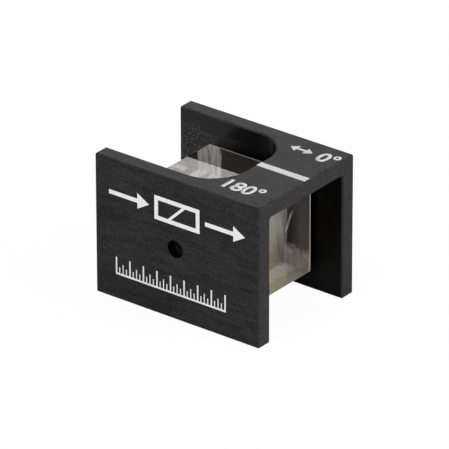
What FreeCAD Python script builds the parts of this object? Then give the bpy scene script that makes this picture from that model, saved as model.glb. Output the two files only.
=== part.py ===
import FreeCAD, Part
import math
import os

# Glan-laser polarizer: two birefringent prisms with an air gap between them, held in a
# one-piece channel of black anodised aluminium. Millimetres. The beam runs along X, the
# channel's side plates face -Y (front) and +Y (rear), and Z is up from the bottom face.

# Crystal, the block that the two prisms make together, and the bevel on every edge of each prism
crystal_length = 7.5
crystal_width = 6.3
crystal_height = 6.1
crystal_bevel = 0.07
beam_incidence = 38.0       # degrees, from the beam to the normal of the cut between the prisms
air_gap = 0.05

# Foil spacers that keep the air gap open, one near each side of the crystal
spacer_width = 0.4
spacer_inset = 0.15
spacer_end_margin = 0.45

# Housing walls, and the room that they leave round the crystal
plate_thickness = 1.05
web_thickness = 1.0
web_length = 3.65
side_clearance = 0.3
floor_clearance = 0.3
roof_clearance = 0.6
input_recess = 2.45
output_recess = 2.05
channel_corner_radius = 0.2
window_corner_radius = 2.4
edge_break = 0.08

# Adhesive, put in through a hole in each side plate
bond_hole_diameter = 1.1
bond_hole_offset = -0.15    # along the beam, from the housing's middle
bond_pad_diameter = 2.4
bond_plug_depth = 0.45

# What follows from the sizes above
channel_width = crystal_width + 2 * side_clearance
channel_height = floor_clearance + crystal_height + roof_clearance
housing_length = input_recess + crystal_length + output_recess
housing_width = channel_width + 2 * plate_thickness
housing_height = channel_height + 2 * web_thickness
mid_height = housing_height / 2
crystal_left = input_recess - housing_length / 2
crystal_bottom = web_thickness + floor_clearance
crystal_centre = FreeCAD.Vector(
    crystal_left + crystal_length / 2, 0, crystal_bottom + crystal_height / 2
)

ALONG_X = FreeCAD.Vector(1, 0, 0)
ALONG_Y = FreeCAD.Vector(0, 1, 0)
OVERCUT = 1.0               # how far a cutting tool runs past the face that it opens
SMALL = 1e-6


def block(x_range, y_range, z_range):
    """A box between two values on each axis."""
    corner = FreeCAD.Vector(x_range[0], y_range[0], z_range[0])
    size = [high - low for low, high in (x_range, y_range, z_range)]
    return Part.makeBox(size[0], size[1], size[2], corner)


def edges_along(shape, direction):
    """The straight edges of a shape that run along a direction."""
    found = []
    for edge in shape.Edges:
        if isinstance(edge.Curve, Part.Line):
            if edge.tangentAt(edge.FirstParameter).cross(direction).Length < SMALL:
                found.append(edge)
    return found


def channel_tool():
    """The channel that runs through the housing along X, with its inner corners rounded."""
    tool = block(
        (-housing_length / 2 - OVERCUT, housing_length / 2 + OVERCUT),
        (-channel_width / 2, channel_width / 2),
        (web_thickness, housing_height - web_thickness),
    )
    return tool.makeFillet(channel_corner_radius, edges_along(tool, ALONG_X))


def window_tool():
    """The window through the top of the channel, open at its left end, with a web beyond it."""
    window_end = housing_length / 2 - web_length
    tool = block(
        (-housing_length / 2 - OVERCUT, window_end),
        (-channel_width / 2, channel_width / 2),
        (mid_height, housing_height + OVERCUT),
    )
    upright = FreeCAD.Vector(0, 0, 1)
    corners = [e for e in edges_along(tool, upright) if abs(e.CenterOfMass.x - window_end) < SMALL]
    return tool.makeFillet(window_corner_radius, corners)


def bond_hole_tool():
    """One drill along Y that makes the adhesive holes of both side plates."""
    start = FreeCAD.Vector(bond_hole_offset, -housing_width / 2 - OVERCUT, mid_height)
    return Part.makeCylinder(bond_hole_diameter / 2, housing_width + 2 * OVERCUT, start, ALONG_Y)


def is_on_skin(edge):
    """Whether an edge lies in one of the six outer faces of the housing."""
    box = edge.BoundBox
    spans = (
        (box.XMin, box.XMax, -housing_length / 2, housing_length / 2),
        (box.YMin, box.YMax, -housing_width / 2, housing_width / 2),
        (box.ZMin, box.ZMax, 0, housing_height),
    )
    for low, high, near, far in spans:
        if max(abs(low - near), abs(high - near)) < SMALL:
            return True
        if max(abs(low - far), abs(high - far)) < SMALL:
            return True
    return False


def make_housing():
    """The channel block: two side plates joined by a top web at one end and a bottom web at the other."""
    body = block(
        (-housing_length / 2, housing_length / 2),
        (-housing_width / 2, housing_width / 2),
        (0, housing_height),
    )
    top_window = window_tool()
    bottom_window = window_tool()
    bottom_window.rotate(FreeCAD.Vector(0, 0, mid_height), ALONG_Y, 180)
    for tool in (channel_tool(), top_window, bottom_window, bond_hole_tool()):
        body = body.cut(tool)
    body = body.removeSplitter()
    return body.makeChamfer(edge_break, [e for e in body.Edges if is_on_skin(e)])


def make_crystal():
    """The whole crystal block, before it is cut into two prisms."""
    half_length = crystal_length / 2
    half_width = crystal_width / 2
    half_height = crystal_height / 2
    return block(
        (crystal_centre.x - half_length, crystal_centre.x + half_length),
        (-half_width, half_width),
        (crystal_centre.z - half_height, crystal_centre.z + half_height),
    )


def tilt_to_cut(shape):
    """Turn a shape made square to X about the crystal's centre, until it is square to the cut."""
    shape.rotate(crystal_centre, ALONG_Y, beam_incidence)
    return shape


def make_prisms():
    """The entry prism, above the cut, and the exit prism, below it, each with all its edges bevelled."""
    crystal = make_crystal()
    reach = crystal_length + crystal_height
    sides = (-crystal_width, crystal_width)
    heights = (crystal_centre.z - reach, crystal_centre.z + reach)
    gap_low = crystal_centre.x - air_gap / 2
    gap_high = crystal_centre.x + air_gap / 2
    above = tilt_to_cut(block((gap_low - reach, gap_low), sides, heights))
    below = tilt_to_cut(block((gap_high, gap_high + reach), sides, heights))
    prisms = [crystal.common(half) for half in (above, below)]
    return [prism.makeChamfer(crystal_bevel, prism.Edges) for prism in prisms]


def make_spacer(side):
    """The foil strip in the air gap near one side of the crystal; side is -1 or 1 along Y."""
    cut_length = crystal_height / math.cos(math.radians(beam_incidence))
    half_length = cut_length / 2 - spacer_end_margin
    outer = crystal_width / 2 - spacer_inset
    inner = outer - spacer_width
    strip = block(
        (crystal_centre.x - air_gap / 2, crystal_centre.x + air_gap / 2),
        sorted((side * inner, side * outer)),
        (crystal_centre.z - half_length, crystal_centre.z + half_length),
    )
    return tilt_to_cut(strip)


def make_bond(side):
    """The adhesive pad between the crystal and one side plate, with the plug in the plate's hole."""
    outward = FreeCAD.Vector(0, side, 0)
    pad_seat = FreeCAD.Vector(bond_hole_offset, side * crystal_width / 2, mid_height)
    pad = Part.makeCylinder(bond_pad_diameter / 2, side_clearance, pad_seat, outward)
    plug_seat = FreeCAD.Vector(bond_hole_offset, side * channel_width / 2, mid_height)
    plug = Part.makeCylinder(bond_hole_diameter / 2, bond_plug_depth, plug_seat, outward)
    return pad.fuse(plug).removeSplitter()


def main():
    entry_prism, exit_prism = make_prisms()
    nodes = {
        "housing": make_housing(),
        "entry_prism": entry_prism,
        "exit_prism": exit_prism,
        "front_spacer": make_spacer(-1),
        "rear_spacer": make_spacer(1),
        "front_bond": make_bond(-1),
        "rear_bond": make_bond(1),
    }
    os.makedirs("parts", exist_ok=True)
    for name, shape in nodes.items():
        shape.exportStep(f"parts/{name}.step")
        solids = len(shape.Solids)
        print(f"{name}: {solids} solid, {shape.Volume:.3f} mm3, valid {shape.isValid()}")


main()
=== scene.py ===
import math
import random

import bmesh
import bpy
from bpy.props import FloatProperty, FloatVectorProperty, IntProperty, PointerProperty
from mathutils import Matrix, Vector


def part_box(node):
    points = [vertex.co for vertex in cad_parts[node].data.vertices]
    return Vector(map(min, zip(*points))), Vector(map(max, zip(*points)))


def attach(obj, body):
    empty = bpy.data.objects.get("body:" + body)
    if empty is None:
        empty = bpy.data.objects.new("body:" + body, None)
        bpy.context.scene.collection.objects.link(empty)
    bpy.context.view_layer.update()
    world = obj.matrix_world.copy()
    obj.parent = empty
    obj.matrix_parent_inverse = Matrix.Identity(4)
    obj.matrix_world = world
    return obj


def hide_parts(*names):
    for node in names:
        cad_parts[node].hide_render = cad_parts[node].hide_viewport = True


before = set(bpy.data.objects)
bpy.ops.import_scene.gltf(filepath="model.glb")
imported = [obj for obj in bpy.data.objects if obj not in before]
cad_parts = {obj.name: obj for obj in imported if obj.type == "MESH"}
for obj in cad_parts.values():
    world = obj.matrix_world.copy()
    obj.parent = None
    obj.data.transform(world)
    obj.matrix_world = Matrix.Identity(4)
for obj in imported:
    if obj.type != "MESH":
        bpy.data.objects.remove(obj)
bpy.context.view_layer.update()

bl_info = {
    "name": "Prism polarizer",
    "version": (1, 0, 0),
    "blender": (4, 5, 0),
    "location": "3D View > Sidebar > Polarizer",
    "description": "Finishes of an air-spaced prism polarizer, its marks and its photo stage",
    "category": "Object",
}

MM = 0.001
IMAGE_SIZE = 449            # pixels along a side of the picture
SENSOR_WIDTH = 36.0
BODY = "root"
SEEN_BY = ("Is Camera Ray", "Is Glossy Ray", "Is Transmission Ray")
PURE_WHITE = (1.0, 1.0, 1.0, 1.0)
MARK_BITE = 0.001 * MM      # how deep a mark sinks into its face
SKIN = 0.1                  # millimetres at a wall's outer end that keep the outer finish
SQUARE = 0.95               # a face that looks along an axis by more than this is square to it
BEVELLED = 0.75             # a face that looks along every axis by less than this is a bevel

# Places of the part, in metres
housing_low, housing_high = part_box("housing")
crystal_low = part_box("entry_prism")[0]
crystal_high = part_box("exit_prism")[1]
plate_front = housing_low.y
top_face = housing_high.z
plate_gap = 0.3 * MM        # between the crystal and each side plate
roof_gap = 0.6 * MM         # between the crystal and the top web

# Places that the finishes go by, in millimetres
entry_face, crystal_foot_level = crystal_low.x / MM, crystal_low.z / MM
exit_face, crystal_side_face, crystal_roof = [value / MM for value in crystal_high]
foot_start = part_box("exit_prism")[0].x / MM
channel_side = (crystal_high.y + plate_gap) / MM + 0.01
channel_end = housing_high.x / MM - SKIN
channel_middle = top_face / MM / 2
channel_roof = (crystal_high.z + roof_gap) / MM
hole_middle = sum(corner.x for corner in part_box("front_bond")) / 2 / MM
hole_reach = 0.6
plate_skin = housing_high.y / MM - SKIN


# Shader maths


class Field:
    """A number, colour or vector that varies over a surface: a socket of a material's nodes."""

    def __init__(self, shader, socket):
        self.shader = shader
        self.socket = socket

    def maths(self, operation, first, second=0.5):
        """One Math node on numbers or fields."""
        return self.shader.node("ShaderNodeMath", {"operation": operation}, {0: first, 1: second})

    def __add__(self, other):
        return self.maths("ADD", self, other)

    __radd__ = __add__

    def __sub__(self, other):
        return self.maths("SUBTRACT", self, other)

    def __rsub__(self, other):
        return self.maths("SUBTRACT", other, self)

    def __mul__(self, other):
        return self.maths("MULTIPLY", self, other)

    __rmul__ = __mul__

    def __gt__(self, other):
        return self.maths("GREATER_THAN", self, other)

    def __lt__(self, other):
        return self.maths("LESS_THAN", self, other)

    def __abs__(self):
        return self.maths("ABSOLUTE", self)

    def at_least(self, other):
        """The larger of this field and another."""
        return self.maths("MAXIMUM", self, other)

    def clamped(self):
        """This field kept between 0 and 1."""
        return self.shader.node("ShaderNodeClamp", {}, {0: self})


class Shader:
    """The nodes of one material or of the world."""

    def __init__(self, owner):
        owner.use_nodes = True
        self.owner = owner
        self.tree = owner.node_tree
        self.tree.nodes.clear()

    def node(self, kind, settings, sockets, output=0):
        """Add a node with its settings, then its values or links, and return one of its outputs."""
        made = self.tree.nodes.new(kind)
        for name, value in settings.items():
            setattr(made, name, value)
        for key, value in sockets.items():
            if isinstance(value, Field):
                self.tree.links.new(value.socket, made.inputs[key])
            else:
                made.inputs[key].default_value = value
        return Field(self, made.outputs[output])

    def surface(self, field):
        """Send a shader to the material's surface, or to the world's."""
        world = isinstance(self.owner, bpy.types.World)
        kind = "ShaderNodeOutputWorld" if world else "ShaderNodeOutputMaterial"
        end = self.tree.nodes.new(kind)
        self.tree.links.new(field.socket, end.inputs["Surface"])

    def place(self):
        """Where a point of the surface is in the part's frame, in millimetres."""
        metres = self.node("ShaderNodeTexCoord", {}, {}, "Object")
        values = {0: metres, "Scale": 1 / MM}
        return self.node("ShaderNodeVectorMath", {"operation": "SCALE"}, values)

    def facing(self):
        """How far the surface faces along each axis, as three fields."""
        return self.parts(self.node("ShaderNodeTexCoord", {}, {}, "Normal"))

    def parts(self, vector):
        """The three numbers of a vector."""
        return [self.node("ShaderNodeSeparateXYZ", {}, {0: vector}, axis) for axis in "XYZ"]

    def stretched(self, vector, factors):
        """A vector with each of its numbers multiplied by a factor."""
        return self.node("ShaderNodeVectorMath", {"operation": "MULTIPLY"}, {0: vector, 1: factors})

    def noise(self, vector, scale, detail=2.0, roughness=0.5):
        """Soft random patches, about 0.5 on average."""
        values = {"Vector": vector, "Scale": scale, "Detail": detail, "Roughness": roughness}
        return self.node("ShaderNodeTexNoise", {}, values, "Fac")

    def blend(self, factor, first, second):
        """A colour between two colours."""
        values = {0: factor, 6: rgba(first), 7: rgba(second)}
        return self.node("ShaderNodeMix", {"data_type": "RGBA"}, values, 2)

    def mix(self, factor, first, second):
        """A surface between two surfaces."""
        return self.node("ShaderNodeMixShader", {}, {0: factor, 1: first, 2: second})

    def bump(self, height, distance, strength):
        """A normal from a height field; distance is in metres."""
        values = {"Height": height, "Distance": distance, "Strength": strength}
        return self.node("ShaderNodeBump", {}, values)

    def principled(self, **sockets):
        """The main shader, with its sockets given by name; an underscore stands for a space."""
        values = {name.replace("_", " "): value for name, value in sockets.items()}
        return self.node("ShaderNodeBsdfPrincipled", {}, values)


def rgba(colour):
    """A plain colour with full alpha; a field stays as it is."""
    return colour if isinstance(colour, Field) else (*colour, 1.0)


def rising(field, start, slope):
    """0 up to a start, then rising by a slope to 1."""
    return ((field - start) * slope).clamped()


def falling(field, end, slope):
    """Falling by a slope from 1, and 0 from an end on."""
    return ((end - field) * slope).clamped()


def within(distance, width, sharpness):
    """1 where a distance is below a width, 0 beyond it, with an edge as sharp as asked."""
    return ((width - distance) * sharpness + 0.5).clamped()


def beyond(distance, width, sharpness):
    """0 where a distance is below a width, 1 beyond it, with an edge as sharp as asked."""
    return ((distance - width) * sharpness + 0.5).clamped()


def new_material(name):
    """An empty node material and its shader."""
    material = bpy.data.materials.new(name)
    return material, Shader(material)


def give(node, material):
    """Make a material the only one of a CAD node."""
    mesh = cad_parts[node].data
    mesh.materials.clear()
    mesh.materials.append(material)


# Materials


def black_anodised(settings):
    """Black anodised aluminium, satin and finely milled outside, with a partly blasted channel that
    has painted shade towards its exit end.
    """
    material, shader = new_material("black_anodised")
    place = shader.place()
    x, y, z = shader.parts(place)
    rise = abs(z - channel_middle)
    channel = (abs(x) < channel_end) * (abs(y) < channel_side) * (rise < channel_middle - SKIN)
    holes = (abs(x - hole_middle) < hole_reach) * (rise < hole_reach) * (abs(y) < plate_skin)
    inside = channel.at_least(holes)

    milled = shader.stretched(place, (0.6, 9.0, 9.0))
    grain = shader.noise(milled, scale=1.0, detail=3.0, roughness=0.6)
    speckle = shader.noise(place, scale=6.5, detail=3.0, roughness=0.75)
    broad = shader.noise(place, scale=0.45)
    shade = (grain - 0.5) * settings.grain_contrast + (speckle - 0.5) * settings.speckle_contrast
    shade = shade + (broad - 0.5) * 0.4 + 0.4
    satin = shader.principled(
        Base_Color=shader.blend(shade.clamped(), settings.colour, settings.pale_colour),
        Roughness=(speckle - 0.5) * 0.2 + settings.roughness,
        Normal=shader.bump(grain * 0.5 + speckle * 0.3, distance=0.008 * MM, strength=0.6),
        Specular_IOR_Level=settings.specular,
    )

    # Blasting stops short of the channel's roof and fades out towards the exit, partly a change of
    # finish and partly painted shade
    below = inside * within(z, channel_roof - 0.3 + broad * 0.6, sharpness=2.5)
    blasted = below * falling(x, -0.3, slope=0.28)
    grit = shader.noise(place, scale=9.0, detail=1.0)
    peaks = blasted * rising(grit, 0.55, settings.blast_contrast)
    relief = grit * (blasted * 0.8 + below * 0.2) + grain * 0.1
    gloss = shader.principled(
        Base_Color=shader.blend(peaks, settings.inner_colour, settings.inner_pale_colour),
        Roughness=below * settings.blast_roughness + settings.inner_roughness,
        Normal=shader.bump(relief, distance=0.08 * MM, strength=1.0),
        Specular_IOR_Level=settings.inner_specular,
    )
    painted_shade_wall = shader.principled(
        Base_Color=rgba(settings.inner_colour), Roughness=0.5, Specular_IOR_Level=0.02,
    )
    # Painted shade: towards the exit the inner walls lose their gloss and turn near black
    deep = rising(x, -2.8, slope=0.5) * settings.exit_shade
    shader.surface(shader.mix(inside, satin, shader.mix(deep, gloss, painted_shade_wall)))
    return material


class CrystalPoint:
    """A point of the crystal: where it is, in millimetres, and which of the faces it lies on."""

    def __init__(self, shader):
        self.place = shader.place()
        self.x, self.y, self.z = shader.parts(self.place)
        self.facing = shader.facing()
        self.across = [abs(part) for part in self.facing]
        along, sideways, upright = self.across
        self.on_end = along > SQUARE
        self.on_side = sideways > SQUARE
        self.on_flat = upright > SQUARE
        self.on_cut = along.at_least(upright) < SQUARE
        self.on_bevel = 1 - (along.at_least(sideways).at_least(upright) > BEVELLED)
        self.near_floor = self.z < crystal_foot_level + 0.1
        self.cloud = shader.noise(self.place, scale=1.3, detail=3.0, roughness=0.6)


def crystal_glass(shader, settings, point):
    """Clear crystal with finely ground and chipped bevels."""
    glass = shader.principled(
        Base_Color=rgba(settings.tint), Roughness=point.on_bevel * settings.bevel_roughness,
        IOR=settings.refractive_index, Transmission_Weight=1.0,
    )
    frost = shader.node("ShaderNodeBsdfTranslucent", {}, {"Color": rgba(settings.frost_colour)})
    chips = rising(shader.noise(point.place, scale=3.5, detail=3.0, roughness=0.6), 0.48, slope=5.0)
    return shader.mix(point.on_bevel * (chips * 0.5 + 0.05), glass, frost)


def crystal_haze_and_glints(shader, settings, point):
    """Where the polish is hazy, and where glints are painted: scratches on top, painted glints on
    the cut, the rim of the exit face.
    """
    x, y, z = point.x, point.y, point.z
    turn = {
        "Vector": point.place, "Rotation": (0.0, 0.0, settings.scratch_angle),
        "Scale": (2.5, 0.12, 1.0),
    }
    turned = shader.node("ShaderNodeMapping", {"vector_type": "TEXTURE"}, turn)
    lines = rising(shader.noise(turned, scale=1.0, roughness=0.7), 0.5, slope=5.0)
    scratched = falling(x + y, -0.3, slope=0.5) * within(y, 0.7, sharpness=2.0)
    scratches = point.on_flat * lines * scratched * 0.15

    # Painted glint: a bright white patch beside each foil, at mid height
    foil_glint_height, foil_glint_side = 4.2, 2.93
    foil_glints = within(abs(abs(y) - foil_glint_side), 0.09, sharpness=14.0)
    foil_glints = foil_glints * within(abs(z - foil_glint_height), 0.7, sharpness=2.0)
    foil_glints = point.on_cut * (1 - point.on_bevel) * foil_glints

    # Painted glint: a bright band on the cut, seen through the entry prism; it leans forwards as it
    # climbs
    leaning = y + z * 0.39
    cut_glint_line, cut_glint_height = 4.0, 4.4
    glint_run = shader.node("ShaderNodeCombineXYZ", {}, {"X": leaning * 5.0, "Z": z * 0.3})
    glint_breaks = rising(shader.noise(glint_run, scale=1.0, roughness=0.7), 0.267, slope=3.0)
    cut_glint = within(abs(leaning - cut_glint_line), 0.55, sharpness=4.0)
    cut_glint = cut_glint * within(abs(z - cut_glint_height), 2.1, sharpness=0.8) * glint_breaks
    cut_glint = point.on_cut * (point.facing[0] < 0.0) * cut_glint

    rim = point.on_bevel.at_least(point.on_end * (abs(y) > crystal_side_face - 0.16))
    rim = (x > exit_face - 0.15) * rim * 0.35
    return scratches.at_least(foil_glints).at_least(cut_glint).at_least(rim)


def crystal_side(shader, settings, point):
    """The colour of a ground side: a dark coat, bare in thin strips along the roof and exit edges,
    with painted light at the entry edge and along the foot.
    """
    x, z = point.x, point.z
    upright = shader.stretched(point.place, (5.0, 5.0, 0.3))
    streaks = shader.noise(upright, scale=1.0, detail=3.0, roughness=0.7)
    lined = shader.stretched(point.place, (8.0, 1.0, 0.15))
    stripes = shader.noise(lined, scale=1.0, roughness=0.8)
    # Painted light: lighter stripes at the entry edge, where light refracts in at the entry end
    entry_light_width = (streaks - 0.5) * 0.3 + settings.entry_light_margin / MM
    entry_light_stripes = within(x - entry_face, entry_light_width, sharpness=12.0) * (stripes * 2.3 - 0.3)

    # Painted light: a lighter band along the foot, towards the exit, where light comes up from the
    # floor below
    floor_light_noise = shader.noise(shader.stretched(point.place, (0.4, 1.0, 1.0)), scale=2.2)
    floor_light_margin = (floor_light_noise - 0.5) * 1.6 + settings.floor_light_margin / MM
    floor_light_band = within(z - crystal_foot_level, floor_light_margin, sharpness=1.8) * floor_light_noise * 1.4
    floor_light_band = floor_light_band * rising(x, -1.5, slope=0.8)

    roof_strip = within(crystal_roof - z, 0.28, sharpness=12.0)
    exit_strip = within(exit_face - x, 0.25, sharpness=12.0)
    # Bare edges plus the painted light at the entry edge and along the foot
    bare = entry_light_stripes.at_least(floor_light_band).at_least(roof_strip).at_least(exit_strip).clamped()
    shade = (point.cloud * 0.4 + x * 0.45 - 0.1).clamped()
    coat = Vector(settings.coat_colour)
    return shader.blend(bare, shader.blend(shade, coat * 0.6, coat * 3.4), settings.ground_colour)


def crystal_foot(shader, settings, point):
    """The colour of the exit prism's ground underside: amber beside the cut, then streaked, then
    tan.
    """
    x, y, cloud = point.x, point.y, point.cloud
    tan, amber = Vector(settings.foot_colour), Vector(settings.amber_colour)
    cream = Vector(settings.cream_colour)
    grooved = shader.stretched(point.place, (0.4, 5.0, 1.0))
    grooves = shader.noise(grooved, scale=1.0, detail=3.0, roughness=0.7)
    amber_patch = shader.blend(grooves, amber * 0.5, amber * 1.5)
    streaked = shader.blend(rising(grooves, 0.25, slope=2.4), tan, cream)
    plain = shader.blend(beyond(y + x * 0.5, 2.8, sharpness=2.0), tan, cream * 0.6)
    foot = shader.blend(beyond(x, cloud + 0.9, sharpness=1.2), streaked, plain)
    return shader.blend(within(x, cloud * 1.2 - 1.7, sharpness=2.5), foot, amber_patch)


def clear_crystal(settings):
    """Polished crystal with frosted bevels, and ground sides and a ground foot that are opaque."""
    material, shader = new_material("crystal")
    point = CrystalPoint(shader)
    # A matte white for the hazy scratches and rim, also the white of the painted glints on the cut
    haze_and_glint = shader.principled(
        Base_Color=rgba(settings.haze_and_glint_colour), Roughness=1.0, Specular_IOR_Level=0.0,
    )
    glass = crystal_glass(shader, settings, point)
    polished = shader.mix(crystal_haze_and_glints(shader, settings, point), glass, haze_and_glint)

    underneath = point.on_flat * point.near_floor
    exit_foot = underneath * (point.x > foot_start)
    sides = crystal_side(shader, settings, point)
    foot = crystal_foot(shader, settings, point)
    ground = shader.principled(
        Base_Color=shader.blend(exit_foot, sides, foot), Roughness=0.6, Specular_IOR_Level=0.2,
    )
    side_bevel = point.on_bevel * (point.across[1] > 0.5)
    cut_edge = side_bevel * (point.across[0] * point.across[2] > 0.2) * 0.9
    foot_edge = side_bevel * point.near_floor * 0.95
    opaque = point.on_side.at_least(underneath - exit_foot * 0.15)
    opaque = opaque.at_least(cut_edge).at_least(foot_edge)
    shader.surface(shader.mix(opaque, polished, ground))
    return material


def spacer_foil(settings):
    """Thin rolled metal foil."""
    material, shader = new_material("spacer_foil")
    rolled = shader.noise(shader.stretched(shader.place(), (1.0, 30.0, 1.0)), scale=2.0)
    bright = Vector(settings.foil_colour)
    colour = shader.blend(rolled, bright * 0.7, bright)
    shader.surface(shader.principled(Base_Color=colour, Metallic=1.0, Roughness=0.35))
    return material


def cured_adhesive(settings):
    """Cured dark brown adhesive with a few cloudy patches."""
    material, shader = new_material("adhesive")
    cloud = shader.noise(shader.place(), scale=3.0, detail=3.0)
    brown = Vector(settings.adhesive_colour)
    colour = shader.blend(cloud, brown * 0.5, brown)
    shader.surface(shader.principled(Base_Color=colour, Roughness=0.5, Specular_IOR_Level=0.1))
    return material


def white_mark(settings):
    """The white of the marks, a little uneven, and greyer on the top face."""
    material, shader = new_material("white_mark")
    place = shader.place()
    hatch = shader.noise(shader.stretched(place, (2.0, 14.0, 14.0)), scale=1.0)
    speckle = shader.noise(place, scale=9.0, detail=3.0, roughness=0.6)
    shade = (hatch * 0.6 + speckle * 0.4) * 0.9 + 0.45 - abs(shader.facing()[2]) * 0.7
    white = Vector(settings.colour)
    shader.surface(shader.principled(
        Base_Color=shader.blend(shade.clamped(), white * 0.35, white),
        Roughness=0.7, Specular_IOR_Level=0.2,
        Normal=shader.bump(speckle, distance=0.004 * MM, strength=0.5),
    ))
    return material


# Settings


class StageSettings(bpy.types.PropertyGroup):
    """The camera, the floor and the lights."""

    azimuth: FloatProperty(
        name="Azimuth", description="Turn of the camera about the vertical", subtype="ANGLE",
        default=math.radians(37.937),
    )
    elevation: FloatProperty(
        name="Elevation", description="Height of the camera above the horizon", subtype="ANGLE",
        default=math.radians(26.526),
    )
    roll: FloatProperty(
        name="Roll", description="Turn of the camera about its own axis", subtype="ANGLE",
        default=math.radians(-0.121),
    )
    distance: FloatProperty(
        name="Distance", description="Camera to the point that it aims at", subtype="DISTANCE",
        default=354.1 * MM,
    )
    aim: FloatVectorProperty(
        name="Aim", description="Point at the middle of the picture", subtype="TRANSLATION",
        default=(0.0278 * MM, -0.0244 * MM, 4.4272 * MM),
    )
    focal_pixels: FloatProperty(
        name="Focal length", description="Focal length in pixels of the picture", default=6089.8,
    )
    floor_size: FloatProperty(
        name="Floor size", description="Side of the square floor", subtype="DISTANCE", default=1.2,
    )
    floor_drop: FloatProperty(
        name="Floor drop", description="How far the floor lies below the part",
        subtype="DISTANCE", default=0.02 * MM,
    )
    floor_colour: FloatVectorProperty(
        name="Floor", description="Colour of the floor where it takes the shadow",
        subtype="COLOR", default=(0.6, 0.6, 0.6),
    )
    white: FloatProperty(
        name="White", description="How much of the floor's look is its own white", default=0.96,
    )
    mirrored_white: FloatProperty(
        name="Mirrored white", description="The same where a gloss shows the floor", default=0.08,
    )
    refracted_white: FloatProperty(
        name="Refracted white", description="The same where it shows through the crystal",
        default=0.2,
    )
    ambient: FloatProperty(
        name="Ambient", description="Strength of the world's light on the object", default=0.5,
    )
    key_light: FloatProperty(
        name="Key light", description="Radiance of the lamp in front", default=6.5,
    )
    back_light: FloatProperty(
        name="Back light", description="Radiance of the lamp behind", default=1.1,
    )
    side_light: FloatProperty(
        name="Side light", description="Radiance of the lamp at the exit end", default=12.5,
    )


class HousingSettings(bpy.types.PropertyGroup):
    """The black finish of the housing."""

    colour: FloatVectorProperty(
        name="Colour", description="Black of the anodised finish", subtype="COLOR",
        default=(0.0104, 0.0104, 0.0106),
    )
    pale_colour: FloatVectorProperty(
        name="Pale colour", description="Palest grey of the finish's grain and speckle",
        subtype="COLOR", default=(0.050, 0.050, 0.0507),
    )
    roughness: FloatProperty(
        name="Roughness", description="Roughness of the finish", default=0.36,
    )
    specular: FloatProperty(
        name="Specular", description="Strength of the finish's gloss", default=0.02,
    )
    grain_contrast: FloatProperty(
        name="Grain", description="Contrast of the milling marks", default=1.0,
    )
    speckle_contrast: FloatProperty(
        name="Speckle", description="Contrast of the fine speckle", default=1.2,
    )
    inner_colour: FloatVectorProperty(
        name="Inner colour", description="Black of the inner walls", subtype="COLOR",
        default=(0.001, 0.001, 0.001),
    )
    inner_pale_colour: FloatVectorProperty(
        name="Inner pale colour", description="Grey of the blasted speckle", subtype="COLOR",
        default=(0.078, 0.078, 0.078),
    )
    inner_roughness: FloatProperty(
        name="Inner roughness", description="Roughness of the smooth inner walls", default=0.24,
    )
    inner_specular: FloatProperty(
        name="Inner specular", description="Strength of the inner walls' gloss", default=0.26,
    )
    # Painted shade: how far the inner walls darken towards the exit
    exit_shade: FloatProperty(
        name="Dullness", description="How much of that gloss is lost towards the exit",
        default=0.58,
    )
    blast_roughness: FloatProperty(
        name="Blast roughness", description="Roughness that blasting adds", default=0.1,
    )
    blast_contrast: FloatProperty(
        name="Blasting", description="Contrast of the blasted speckle", default=9.0,
    )


class CrystalSettings(bpy.types.PropertyGroup):
    """The two prisms."""

    tint: FloatVectorProperty(
        name="Tint", description="Colour of the crystal", subtype="COLOR",
        default=(1.0, 0.99, 0.97),
    )
    refractive_index: FloatProperty(
        name="Refractive index", description="Refractive index of the crystal", default=1.64,
    )
    bevel_roughness: FloatProperty(
        name="Bevel roughness", description="Roughness of the ground bevels", default=0.35,
    )
    frost_colour: FloatVectorProperty(
        name="Frost", description="White of the chips in the bevels", subtype="COLOR",
        default=(0.55, 0.52, 0.49),
    )
    # Also the white of the painted glints on the cut
    haze_and_glint_colour: FloatVectorProperty(
        name="Haze", description="White of the scratches, the dabs and the wiped streak",
        subtype="COLOR", default=(0.95, 0.91, 0.85),
    )
    scratch_angle: FloatProperty(
        name="Scratch angle", description="Turn of the scratches on the top face",
        subtype="ANGLE", default=math.radians(-39.0),
    )
    # Painted light: the width of the lighter stripes at the sides' entry edge
    entry_light_margin: FloatProperty(
        name="Bare margin", description="Width of the bare strip at the sides' entry edge",
        subtype="DISTANCE", default=0.84 * MM,
    )
    # Painted light: the width of the lighter band along the sides' foot
    floor_light_margin: FloatProperty(
        name="Low margin", description="Width of the bare strip along the sides' bottom edge",
        subtype="DISTANCE", default=1.15 * MM,
    )
    ground_colour: FloatVectorProperty(
        name="Ground sides", description="Colour of the bare ground sides", subtype="COLOR",
        default=(0.92, 0.87, 0.82),
    )
    coat_colour: FloatVectorProperty(
        name="Side coat", description="Colour of the dark coat on the sides", subtype="COLOR",
        default=(0.066, 0.062, 0.060),
    )
    foot_colour: FloatVectorProperty(
        name="Foot", description="Tan of the exit prism's ground underside", subtype="COLOR",
        default=(0.75, 0.55, 0.3),
    )
    cream_colour: FloatVectorProperty(
        name="Cream", description="Palest colour of the streaks on that underside",
        subtype="COLOR", default=(1.0, 0.957, 0.902),
    )
    # Amber patch beside the cut on the exit prism's underside
    amber_colour: FloatVectorProperty(
        name="Stain", description="Colour of the stain on that underside beside the cut",
        subtype="COLOR", default=(0.5, 0.33, 0.08),
    )


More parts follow.
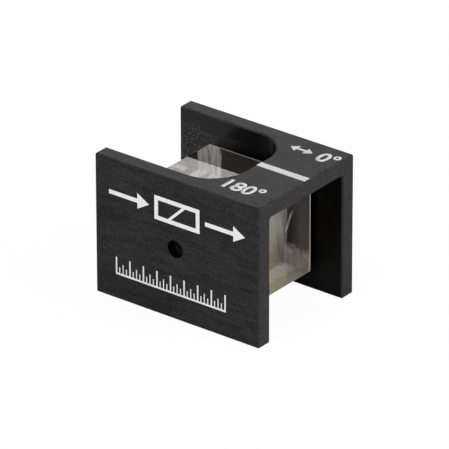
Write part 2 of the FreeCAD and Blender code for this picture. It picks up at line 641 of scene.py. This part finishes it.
class InnerSettings(bpy.types.PropertyGroup):
    """The foil spacers and the adhesive."""

    foil_colour: FloatVectorProperty(
        name="Foil", description="Colour of the foil", subtype="COLOR", default=(0.5, 0.49, 0.47),
    )
    foil_thickness: FloatProperty(
        name="Foil thickness", description="Thickness of the foil in the air gap",
        subtype="DISTANCE", default=0.04 * MM,
    )
    foil_unevenness: FloatProperty(
        name="Foil edges", description="How far the foil's edges wander inwards",
        subtype="DISTANCE", default=0.02 * MM,
    )
    foil_rows: IntProperty(name="Foil rows", description="Steps along a foil strip", default=36)
    cut_angle: FloatProperty(
        name="Cut angle", description="Angle between the beam and the normal of the cut",
        subtype="ANGLE", default=math.radians(38.0),
    )
    adhesive_colour: FloatVectorProperty(
        name="Adhesive", description="Colour of the adhesive", subtype="COLOR",
        default=(0.006, 0.005, 0.004),
    )
    adhesive_play: FloatProperty(
        name="Adhesive play", description="Hair's breadth between the adhesive and what it holds",
        subtype="DISTANCE", default=0.004 * MM,
    )
    plug_diameter: FloatProperty(
        name="Plug", description="Diameter of the adhesive in a plate's hole",
        subtype="DISTANCE", default=1.09 * MM,
    )
    plug_dish: FloatProperty(
        name="Plug dish", description="How deep the end of a plug is dished",
        subtype="DISTANCE", default=0.16 * MM,
    )
    pad_unevenness: FloatProperty(
        name="Pad rim", description="How far the rim of a pad wanders, as a share of its radius",
        default=0.07,
    )
    adhesive_turns: IntProperty(name="Turns", description="Steps round the adhesive", default=72)


class MarkSettings(bpy.types.PropertyGroup):
    """The white marks."""

    colour: FloatVectorProperty(
        name="Colour", description="White of the marks", subtype="COLOR", default=(0.9, 0.9, 0.9),
    )
    thickness: FloatProperty(
        name="Thickness", description="Thickness of a mark, most of it proud of the face",
        subtype="DISTANCE", default=0.008 * MM,
    )
    line_width: FloatProperty(
        name="Line width", description="Width of the axis line", subtype="DISTANCE",
        default=0.5 * MM,
    )


# Stage


def make_camera(settings):
    """The camera at the photo's viewing angle."""
    a, e = settings.azimuth, settings.elevation
    forward = Vector((-math.sin(a) * math.cos(e), math.cos(a) * math.cos(e), -math.sin(e)))
    level = Vector((math.cos(a), math.sin(a), 0.0))
    above = level.cross(forward)
    turned_right = level * math.cos(settings.roll) + above * math.sin(settings.roll)
    turned_up = above * math.cos(settings.roll) - level * math.sin(settings.roll)
    data = bpy.data.cameras.new("camera")
    data.sensor_width = SENSOR_WIDTH
    data.lens = settings.focal_pixels * SENSOR_WIDTH / IMAGE_SIZE
    data.clip_start = 0.01
    data.clip_end = 10.0
    camera = bpy.data.objects.new("camera", data)
    bpy.context.scene.collection.objects.link(camera)
    spot = Vector(settings.aim) - forward * settings.distance
    turn = Matrix((turned_right, turned_up, -forward)).transposed().to_4x4()
    camera.matrix_world = Matrix.Translation(spot) @ turn
    bpy.context.scene.camera = camera


def seen_rays(shader):
    """1 on rays to the camera, on those from a gloss, and on those through the crystal."""
    return [shader.node("ShaderNodeLightPath", {}, {}, kind) for kind in SEEN_BY]


def make_floor(settings):
    """A plain white floor that keeps the object's soft shadow."""
    mesh = bpy.data.meshes.new("floor")
    half = settings.floor_size / 2
    corners = [(x, y, -settings.floor_drop) for x, y in bar(-half, -half, half, half)]
    mesh.from_pydata(corners, [], [(0, 1, 2, 3)])
    floor = bpy.data.objects.new("floor", mesh)
    bpy.context.scene.collection.objects.link(floor)
    material, shader = new_material("floor_white")
    matte = shader.node("ShaderNodeBsdfDiffuse", {}, {"Color": rgba(settings.floor_colour)})
    glow = shader.node("ShaderNodeEmission", {}, {"Color": PURE_WHITE, "Strength": 1.0})
    camera, glossy, transmitted = seen_rays(shader)
    share = (camera * settings.white).at_least(glossy * settings.mirrored_white)
    share = share.at_least(transmitted * settings.refracted_white)
    shader.surface(shader.mix(share, matte, glow))
    mesh.materials.append(material)


def make_world(settings):
    """White surroundings that show at strength 1 and light the object at a plain level."""
    world = bpy.data.worlds.new("studio")
    bpy.context.scene.world = world
    shader = Shader(world)
    camera, glossy, transmitted = seen_rays(shader)
    seen = camera.at_least(glossy).at_least(transmitted)
    strength = seen * (1.0 - settings.ambient) + settings.ambient
    values = {"Color": PURE_WHITE, "Strength": strength}
    shader.surface(shader.node("ShaderNodeBackground", {}, values))


def make_softbox(name, spot, size, radiance):
    """A square lamp that faces the part; radiance is its brightness where a mirror shows it."""
    data = bpy.data.lights.new(name, "AREA")
    data.shape = "SQUARE"
    data.size = size
    data.energy = radiance * math.pi * size * size
    lamp = bpy.data.objects.new(name, data)
    bpy.context.scene.collection.objects.link(lamp)
    lamp.location = spot
    lamp.rotation_mode = "QUATERNION"
    target = Vector((0.0, 0.0, top_face / 2))
    lamp.rotation_quaternion = (target - Vector(spot)).to_track_quat("-Z", "Y")


# Inner pieces


def add_piece(name, mesh, material):
    """Make an object of a mesh, with its finish, that moves with the housing."""
    mesh.materials.clear()
    mesh.materials.append(material)
    piece = bpy.data.objects.new(name, mesh)
    bpy.context.scene.collection.objects.link(piece)
    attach(piece, BODY)
    return piece


def between(first, second, share):
    """The value at a share of the way from the first to the second."""
    return first * (1.0 - share) + second * share


def make_foil(name, node, settings, material, rng):
    """One foil strip in the air gap, a little thinner than the gap, with hand-cut edges."""
    near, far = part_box(node)
    tilt = settings.cut_angle
    centre = (near + far) / 2
    thick = settings.foil_thickness
    length = (far.z - near.z - thick * math.sin(tilt)) / math.cos(tilt)
    width = far.y - near.y
    along = Vector((math.sin(tilt), 0.0, math.cos(tilt)))
    through = Vector((math.cos(tilt), 0.0, -math.sin(tilt)))
    across = Vector((0.0, 1.0, 0.0))
    rows = settings.foil_rows
    points = []
    for row in range(rows + 1):
        run = (row / rows - 0.5) * length
        for way in (-1, 1):
            edge = way * (width / 2 - rng.uniform(0.0, settings.foil_unevenness))
            for face in (-1, 1):
                offset = across * edge + through * (face * thick / 2)
                points.append(centre + along * run + offset)
    faces = [(0, 2, 3, 1)]
    for row in range(rows):
        a = 4 * row
        for one, two in ((0, 1), (1, 3), (3, 2), (2, 0)):
            faces.append((a + one, a + two, a + 4 + two, a + 4 + one))
    end = 4 * rows
    faces.append((end, end + 1, end + 3, end + 2))
    mesh = bpy.data.meshes.new(name)
    mesh.from_pydata(points, [], faces)
    piece = add_piece(name, mesh, material)
    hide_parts(node)


def make_adhesive(name, node, settings, material, rng):
    """The adhesive of one side: a pad with a hollow rim, and a plug with a dished end."""
    near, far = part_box(node)
    way = -1 if near.y < 0 else 1
    crystal_end, plug_end = (far.y, near.y) if way < 0 else (near.y, far.y)
    crystal_end += way * settings.adhesive_play
    plate_face = crystal_high.y + plate_gap if way > 0 else crystal_low.y - plate_gap
    plate_end = plate_face - way * settings.adhesive_play
    pad = (far.x - near.x) / 2
    hole = settings.plug_diameter / 2
    middle = Vector(((near.x + far.x) / 2, 0.0, (near.z + far.z) / 2))
    waist = (crystal_end + plate_face) / 2
    dish = plug_end - way * settings.plug_dish
    rim = [
        (pad, crystal_end),
        (pad * 0.965, between(crystal_end, waist, 0.3)),
        (pad * 0.94, waist),
        (pad * 0.965, between(plate_face, waist, 0.3)),
        (pad, plate_end),
    ]
    plug = [
        (hole, plate_end),
        (hole, plug_end),
        (hole * 0.9, between(plug_end, dish, 0.55)),
        (hole * 0.7, between(plug_end, dish, 0.85)),
        (hole * 0.4, dish),
    ]
    profile = [(0.0, crystal_end), *rim, *plug, (0.0, dish)]
    lobes = [(count, rng.uniform(0.0, math.tau)) for count in (2, 3, 5)]
    bm = bmesh.new()
    rings = []
    turns = settings.adhesive_turns
    for number, (radius, depth) in enumerate(profile):
        if radius == 0.0:
            rings.append([bm.verts.new(middle + Vector((0.0, depth, 0.0)))])
            continue
        ring = []
        for turn in range(turns):
            angle = math.tau * turn / turns
            ripple = sum(math.cos(count * angle + phase) for count, phase in lobes) / len(lobes)
            reach = radius
            if 1 <= number <= len(rim):
                reach *= 1.0 - settings.pad_unevenness * (1.0 + ripple) / 2
            spot = Vector((reach * math.cos(angle), depth, reach * math.sin(angle)))
            ring.append(bm.verts.new(middle + spot))
        rings.append(ring)
    for inner, outer in zip(rings, rings[1:]):
        for turn in range(turns):
            after = (turn + 1) % turns
            if len(inner) == 1:
                bm.faces.new((inner[0], outer[turn], outer[after]))
            elif len(outer) == 1:
                bm.faces.new((inner[turn], outer[0], inner[after]))
            else:
                bm.faces.new((inner[turn], outer[turn], outer[after], inner[after]))
    bmesh.ops.recalc_face_normals(bm, faces=bm.faces)
    mesh = bpy.data.meshes.new(name)
    bm.to_mesh(mesh)
    bm.free()
    piece = add_piece(name, mesh, material)
    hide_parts(node)


# Marks: flat outlines in millimetres, first value along the row, second value up


def bar(start, base, end, top):
    """The outline of an upright rectangle."""
    return [(start, base), (end, base), (end, top), (start, top)]


def arrow(tail, tip, level, stroke, head_length, head_width):
    """The outline of an arrow along a row, from its tail to its tip."""
    way = 1 if tip > tail else -1
    neck = tip - way * head_length
    half = stroke / 2
    wide = head_width / 2
    return [
        (tail, level - half), (neck, level - half), (neck, level - wide), (tip, level),
        (neck, level + wide), (neck, level + half), (tail, level + half),
    ]


def double_arrow(start, end, level, stroke, head_length, head_width):
    """The outline of an arrow with a head at each end."""
    half = stroke / 2
    wide = head_width / 2
    first, last = start + head_length, end - head_length
    return [
        (start, level), (first, level - wide), (first, level - half),
        (last, level - half), (last, level - wide), (end, level),
        (last, level + wide), (last, level + half),
        (first, level + half), (first, level + wide),
    ]


def filled(outlines, thickness):
    """A mesh plate of some flat outlines; an outline inside another is a hole."""
    curve = bpy.data.curves.new("outline", "CURVE")
    curve.dimensions = "2D"
    curve.fill_mode = "BOTH"
    curve.extrude = thickness / 2
    for outline in outlines:
        spline = curve.splines.new("POLY")
        spline.points.add(len(outline) - 1)
        for point, (x, y) in zip(spline.points, outline):
            point.co = (x * MM, y * MM, 0.0, 1.0)
        spline.use_cyclic_u = True
    return as_mesh(curve)


def figures(text, start, base, height, weight, thickness):
    """A mesh plate of plain figures, by their height, their left end and their base line."""
    curve = bpy.data.curves.new("figures", "FONT")
    curve.body = text
    curve.fill_mode = "BOTH"
    curve.size = 1.0
    curve.offset = weight
    mesh = as_mesh(curve)
    lowest = min(point.co.y for point in mesh.vertices)
    highest = max(point.co.y for point in mesh.vertices)
    first = min(point.co.x for point in mesh.vertices)
    factor = height * MM / (highest - lowest)
    for point in mesh.vertices:
        flat_x = (point.co.x - first) * factor + start * MM
        flat_y = (point.co.y - lowest) * factor + base * MM
        point.co = (flat_x, flat_y, 0.0)
    bm = bmesh.new()
    bm.from_mesh(mesh)
    walls = bmesh.ops.extrude_face_region(bm, geom=bm.faces[:])["geom"]
    for each in walls:
        if isinstance(each, bmesh.types.BMVert):
            each.co.z += thickness / 2
    for each in bm.verts:
        if each.co.z == 0.0:
            each.co.z = -thickness / 2
    bm.to_mesh(mesh)
    bm.free()
    return mesh


def as_mesh(curve):
    """The mesh of a curve or of figures; the curve itself is taken away."""
    maker = bpy.data.objects.new("maker", curve)
    bpy.context.scene.collection.objects.link(maker)
    bpy.context.view_layer.update()
    graph = bpy.context.evaluated_depsgraph_get()
    mesh = bpy.data.meshes.new_from_object(maker.evaluated_get(graph))
    bpy.data.objects.remove(maker)
    return mesh


def join(name, plates, placing):
    """One mesh of several plates, put in its place, with doubled points merged."""
    bm = bmesh.new()
    for plate in plates:
        bm.from_mesh(plate)
    bmesh.ops.remove_doubles(bm, verts=bm.verts, dist=0.001 * MM)
    bmesh.ops.transform(bm, matrix=placing, verts=bm.verts)
    bmesh.ops.recalc_face_normals(bm, faces=bm.faces)
    mesh = bpy.data.meshes.new(name)
    bm.to_mesh(mesh)
    bm.free()
    return mesh


def make_top_marks(settings, material):
    """The line along the transmission axis, with an arrow and plain figures beside it."""
    thick = settings.thickness
    half = settings.line_width / MM / 2
    start, line_level = 2.45, 0.15
    line = bar(start=2.42, base=line_level - half, end=5.9, top=line_level + half)
    sign = double_arrow(start, 4.05, level=3.12, stroke=0.2, head_length=0.5, head_width=0.72)
    style = {"weight": 0.025, "thickness": thick}
    plates = [
        filled([line, sign], thick),
        figures("0°", start=4.5, base=2.5, height=1.22, **style),
        figures("180°", start=start, base=-3.52, height=1.2, **style),
    ]
    placing = Matrix.Translation((0.0, 0.0, top_face + thick / 2 - MARK_BITE))
    add_piece("top_marks", join("top_marks", plates, placing), material)


def prism_sign(start, base, end, top, bold):
    """The outlines of a cut block: a frame, and the two windows beside its slanting bar."""
    foot, head, width = -0.62, 0.42, 0.24       # the slanting bar's ends and its width
    inner_start, inner_end = start + bold, end - bold
    inner_base, inner_top = base + bold, top - bold
    first_window = [
        (inner_start, inner_base), (foot, inner_base), (head, inner_top), (inner_start, inner_top),
    ]
    second_window = [
        (foot + width, inner_base), (inner_end, inner_base), (inner_end, inner_top),
        (head + width, inner_top),
    ]
    return [bar(start, base, end, top), first_window, second_window]


def tick_row(start, base, end, rule, step):
    """The outlines of a row of ticks on a rule: every fourth is long, every second middling."""
    outlines = [bar(start, base, end, base + rule)]
    for number in range(int((end - start) / step + 0.5) + 1):
        long, middling = number % 4 == 0, number % 2 == 0
        tall = 1.12 if long else 0.72 if middling else 0.5
        x = start + step * number
        outlines.append(bar(x, base + rule, x + (0.1 if long else 0.07), base + tall))
    return outlines


def make_front_marks(settings, material):
    """The way of the beam through the cut crystal, and a row of plain ticks below it."""
    thick = settings.thickness
    bold = 0.27
    style = {"level": 6.85, "stroke": bold, "head_length": 0.85, "head_width": 1.0}
    path = [
        arrow(tail=-4.95, tip=-2.0, **style), arrow(tail=2.1, tip=5.0, **style),
        *prism_sign(start=-1.6, base=6.08, end=1.7, top=7.62, bold=bold),
    ]
    ticks = tick_row(start=-4.5, base=1.62, end=3.6, rule=0.12, step=0.25)
    plates = [filled(path, thick), *[filled([tick], thick) for tick in ticks]]
    upright = Matrix.Rotation(math.pi / 2, 4, "X")
    placing = Matrix.Translation((0.0, plate_front - thick / 2 + MARK_BITE, 0.0)) @ upright
    add_piece("front_marks", join("front_marks", plates, placing), material)


class POLARIZER_OT_stage(bpy.types.Operator):
    """Make the camera, the floor, the surroundings and the lamps"""

    bl_idname = "polarizer.stage"
    bl_label = "Photo stage"

    def execute(self, context):
        settings = context.scene.polarizer_stage
        make_camera(settings)
        make_floor(settings)
        make_world(settings)
        make_softbox("key_light", (-0.09, -0.34, 0.49), 0.3, settings.key_light)
        make_softbox("back_light", (-0.275, 0.353, 0.2233), 0.3, settings.back_light)
        make_softbox("side_light", (0.40, 0.12, 0.25), 0.25, settings.side_light)
        context.scene.view_settings.view_transform = "Standard"
        return {"FINISHED"}


class POLARIZER_OT_housing(bpy.types.Operator):
    """Give the housing its black anodised finish"""

    bl_idname = "polarizer.housing"
    bl_label = "Housing finish"

    def execute(self, context):
        give("housing", black_anodised(context.scene.polarizer_housing))
        return {"FINISHED"}


class POLARIZER_OT_crystal(bpy.types.Operator):
    """Give the two prisms their clear crystal"""

    bl_idname = "polarizer.crystal"
    bl_label = "Crystal"

    def execute(self, context):
        material = clear_crystal(context.scene.polarizer_crystal)
        for node in ("entry_prism", "exit_prism"):
            give(node, material)
        return {"FINISHED"}


class POLARIZER_OT_inner(bpy.types.Operator):
    """Make the foil spacers in the air gap and the adhesive in the plates' holes"""

    bl_idname = "polarizer.inner"
    bl_label = "Spacers and adhesive"

    def execute(self, context):
        settings = context.scene.polarizer_inner
        foil = spacer_foil(settings)
        adhesive = cured_adhesive(settings)
        for end, seed in (("front", 1), ("rear", 2)):
            make_foil(f"{end}_foil", f"{end}_spacer", settings, foil, random.Random(seed))
            make_adhesive(
                f"{end}_adhesive", f"{end}_bond", settings, adhesive, random.Random(seed),
            )
        return {"FINISHED"}


class POLARIZER_OT_marks(bpy.types.Operator):
    """Make the white marks on the top face and on the front plate"""

    bl_idname = "polarizer.marks"
    bl_label = "White marks"

    def execute(self, context):
        settings = context.scene.polarizer_marks
        white = white_mark(settings)
        make_top_marks(settings, white)
        make_front_marks(settings, white)
        return {"FINISHED"}


class POLARIZER_PT_panel(bpy.types.Panel):
    """The polarizer's operators"""

    bl_idname = "POLARIZER_PT_panel"
    bl_label = "Polarizer"
    bl_space_type = "VIEW_3D"
    bl_region_type = "UI"
    bl_category = "Polarizer"

    def draw(self, context):
        for each in OPERATORS:
            self.layout.operator(each.bl_idname)


OPERATORS = (
    POLARIZER_OT_stage,
    POLARIZER_OT_housing,
    POLARIZER_OT_crystal,
    POLARIZER_OT_inner,
    POLARIZER_OT_marks,
)
SETTINGS = {
    "polarizer_stage": StageSettings,
    "polarizer_housing": HousingSettings,
    "polarizer_crystal": CrystalSettings,
    "polarizer_inner": InnerSettings,
    "polarizer_marks": MarkSettings,
}
CLASSES = (*SETTINGS.values(), *OPERATORS, POLARIZER_PT_panel)


def register():
    """Add the classes, and their settings to the scene."""
    for each in CLASSES:
        bpy.utils.register_class(each)
    for name, group in SETTINGS.items():
        setattr(bpy.types.Scene, name, PointerProperty(type=group))


def unregister():
    """Take the settings and the classes away."""
    for name in SETTINGS:
        delattr(bpy.types.Scene, name)
    for each in reversed(CLASSES):
        bpy.utils.unregister_class(each)


def main():
    register()
    bpy.ops.polarizer.stage()
    bpy.ops.polarizer.housing()
    bpy.ops.polarizer.crystal()
    bpy.ops.polarizer.inner()
    bpy.ops.polarizer.marks()
    bpy.context.view_layer.update()


if __name__ == "__main__":
    main()
